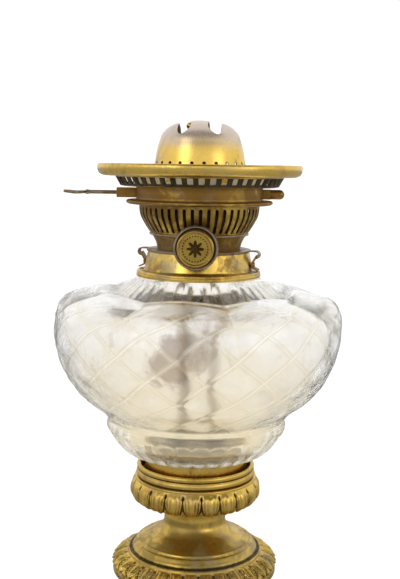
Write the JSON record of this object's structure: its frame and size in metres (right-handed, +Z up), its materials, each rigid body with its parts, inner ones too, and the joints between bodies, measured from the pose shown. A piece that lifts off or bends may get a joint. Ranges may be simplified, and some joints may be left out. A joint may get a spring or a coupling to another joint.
{
  "type": "oil lamp",
  "caption": "Table oil lamp with a quilted glass font on a brass knop and foot, twin flat wicks with concentric winders, twist-handle extinguisher, slotted dome and shade gallery.",
  "frame": {"origin": "centre of the foot, on the surface the lamp stands on", "axes": "+Z up the lamp's axis; the winder knobs face -Y and the extinguisher handle points to -X"},
  "size_m": [0.1528, 0.1528, 0.241],
  "materials": {
    "brass": "aged gilt brass, mottled",
    "steel": "dull drawn steel",
    "iron": "rough casting",
    "baize": "green baize",
    "pearl_glass": "pearl, moulded",
    "plaster": "cast plaster",
    "cotton": "woven cotton tape"
  },
  "bodies": {
    "stand": {"foot": "brass", "foot_weight": "iron", "base_pad": "baize", "tie_rod": "steel", "tie_washers": "steel", "tie_nuts": "steel", "knop": "brass", "font_cup": "brass", "font_socket": "brass", "font_plaster": "plaster", "glass_font": "pearl_glass", "collar": "brass", "collar_cement": "plaster", "collar_rivets": "brass", "collar_catch_left": "brass", "collar_catch_right": "brass"},
    "burner": {"burner_base": "brass", "burner_cone": "brass", "air_basket": "brass", "burner_flange": "brass", "burner_band": "brass", "wick_tube_left": "brass", "wick_tube_right": "brass", "spindle_plate_front": "brass", "spindle_plate_rear": "brass", "winder_bush": "brass", "bail_bearing_left": "brass", "bail_bearing_right": "brass"},
    "wheel_winder": {"winder_wheel": "brass", "winder_sleeve": "brass", "wheel_pinion": "brass"},
    "button_winder": {"winder_button": "brass", "winder_spindle": "steel", "button_pinion": "brass"},
    "left_feed": {"feed_spindle_left": "steel", "feed_gear_left": "brass", "feed_wheels_left": "steel"},
    "right_feed": {"feed_spindle_right": "steel", "feed_gear_right": "brass", "feed_wheels_right": "steel"},
    "left_wick": {"wick_left": "cotton"},
    "right_wick": {"wick_right": "cotton"},
    "extinguisher": {"bail": "steel", "extinguisher_handle": "brass"},
    "snuffer": {"snuffer_frame": "brass", "flap_pins": "steel"},
    "left_flap": {"snuffer_flap_left": "brass"},
    "right_flap": {"snuffer_flap_right": "brass"},
    "gallery": {"gallery": "brass", "chimney_holder": "brass"},
    "dome": {"dome": "brass", "dome_stud": "brass"}
  },
  "joints": [
    {"name": "burner_turn", "type": "hinge", "parent": "stand", "child": "burner", "pos_m": [0, 0, 0.1734], "axis": [0, 0, 1], "range_deg": [0, 25]},
    {"name": "left_wick_lift", "type": "slide", "parent": "burner", "child": "left_wick", "axis": [0, 0, 1], "range_m": [-0.0098, 0.002]},
    {"name": "right_wick_lift", "type": "slide", "parent": "burner", "child": "right_wick", "axis": [0, 0, 1], "range_m": [-0.0098, 0.002]},
    {"name": "wheel_turn", "type": "hinge", "parent": "burner", "child": "wheel_winder", "pos_m": [0, -0.034, 0.1775], "axis": [0, 1, 0], "range_deg": [-195, 41]},
    {"name": "button_turn", "type": "hinge", "parent": "burner", "child": "button_winder", "pos_m": [0, -0.038, 0.1775], "axis": [0, 1, 0], "range_deg": [-41, 195]},
    {"name": "left_feed_turn", "type": "hinge", "parent": "burner", "child": "left_feed", "pos_m": [-0.0033, 0, 0.18251], "axis": [0, 1, 0], "range_deg": [-195, 41]},
    {"name": "right_feed_turn", "type": "hinge", "parent": "burner", "child": "right_feed", "pos_m": [0.0033, 0, 0.18251], "axis": [0, 1, 0], "range_deg": [-41, 195]},
    {"name": "snuffer_lift", "type": "slide", "parent": "burner", "child": "snuffer", "axis": [0, 0, 1], "range_m": [0, 0.00785]},
    {"name": "handle_twist", "type": "hinge", "parent": "burner", "child": "extinguisher", "pos_m": [0, 0, 0.2033], "axis": [1, 0, 0], "range_deg": [-1, 26]},
    {"name": "left_flap_fold", "type": "hinge", "parent": "snuffer", "child": "left_flap", "pos_m": [-0.0112, 0, 0.22125], "axis": [0, 1, 0], "range_deg": [-1, 151]},
    {"name": "right_flap_fold", "type": "hinge", "parent": "snuffer", "child": "right_flap", "pos_m": [0.0112, 0, 0.22125], "axis": [0, 1, 0], "range_deg": [-151, 1]},
    {"name": "gallery_lift", "type": "slide", "parent": "burner", "child": "gallery", "axis": [0, 0, 1], "range_m": [0, 0.04]},
    {"name": "dome_lift", "type": "slide", "parent": "gallery", "child": "dome", "axis": [0, 0, 1], "range_m": [0, 0.03]}
  ],
  "couplings": [
    {"joint": "wheel_turn", "follows": "right_wick_lift", "rad_per_m": 344.83},
    {"joint": "right_feed_turn", "follows": "right_wick_lift", "rad_per_m": -344.83},
    {"joint": "button_turn", "follows": "left_wick_lift", "rad_per_m": -344.83},
    {"joint": "left_feed_turn", "follows": "left_wick_lift", "rad_per_m": 344.83},
    {"joint": "handle_twist", "follows": "snuffer_lift", "rad_per_m": 55.556},
    {"joint": "left_flap_fold", "follows": "snuffer_lift", "rad_per_m": 333.33},
    {"joint": "right_flap_fold", "follows": "snuffer_lift", "rad_per_m": -333.33}
  ]
}
